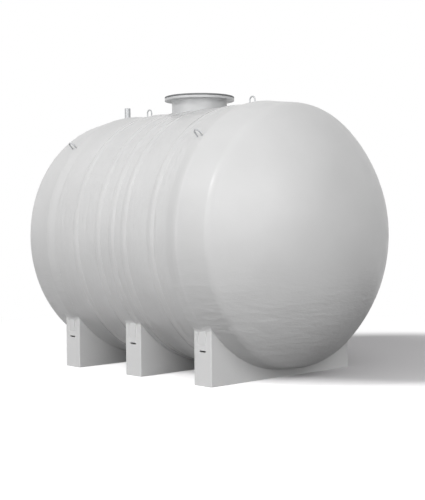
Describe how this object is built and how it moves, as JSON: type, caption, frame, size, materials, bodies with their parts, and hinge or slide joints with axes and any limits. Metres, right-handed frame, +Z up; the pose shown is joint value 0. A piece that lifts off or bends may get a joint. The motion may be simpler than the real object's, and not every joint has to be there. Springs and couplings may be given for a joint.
{
  "type": "water storage tank",
  "caption": "Horizontal cylindrical glass fibre water tank with dished ends, laminated hoops, a top manway, a vent pipe and lifting eyes, on moulded saddles.",
  "frame": {"origin": "on the ground under the middle of the tank", "axes": "+X along the tank towards the near end, +Y across to its right flank, +Z up"},
  "size_m": [3.648, 2.4318, 2.604],
  "materials": {
    "gelcoat": "semi-gloss gelcoat over laminate, faintly wavy",
    "saddle_gelcoat": "satin brushed gelcoat",
    "gasket_rubber": "matt black rubber",
    "cover_paint": "dark grey moulded laminate, satin",
    "galvanised": "hot-dip galvanised steel"
  },
  "bodies": {
    "root": {"barrel": "gelcoat", "near_end": "gelcoat", "far_end": "gelcoat", "hoop_far": "gelcoat", "hoop_inner_far": "gelcoat", "hoop_middle": "gelcoat", "hoop_inner_near": "gelcoat", "hoop_near": "gelcoat", "manway_neck": "gelcoat", "manway_flange": "gelcoat", "saddle_far": "saddle_gelcoat", "saddle_middle": "saddle_gelcoat", "saddle_near": "saddle_gelcoat", "saddle_ties_far": "saddle_gelcoat", "saddle_ties_middle": "saddle_gelcoat", "saddle_ties_near": "saddle_gelcoat", "manway_gasket": "gasket_rubber", "manway_cover": "cover_paint", "vent_nozzle": "galvanised", "crown_eye_near": "galvanised", "crown_eye_far": "galvanised", "left_eye_near": "galvanised", "left_eye_far": "galvanised", "right_eye_near": "galvanised", "right_eye_far": "galvanised"}
  },
  "joints": []
}
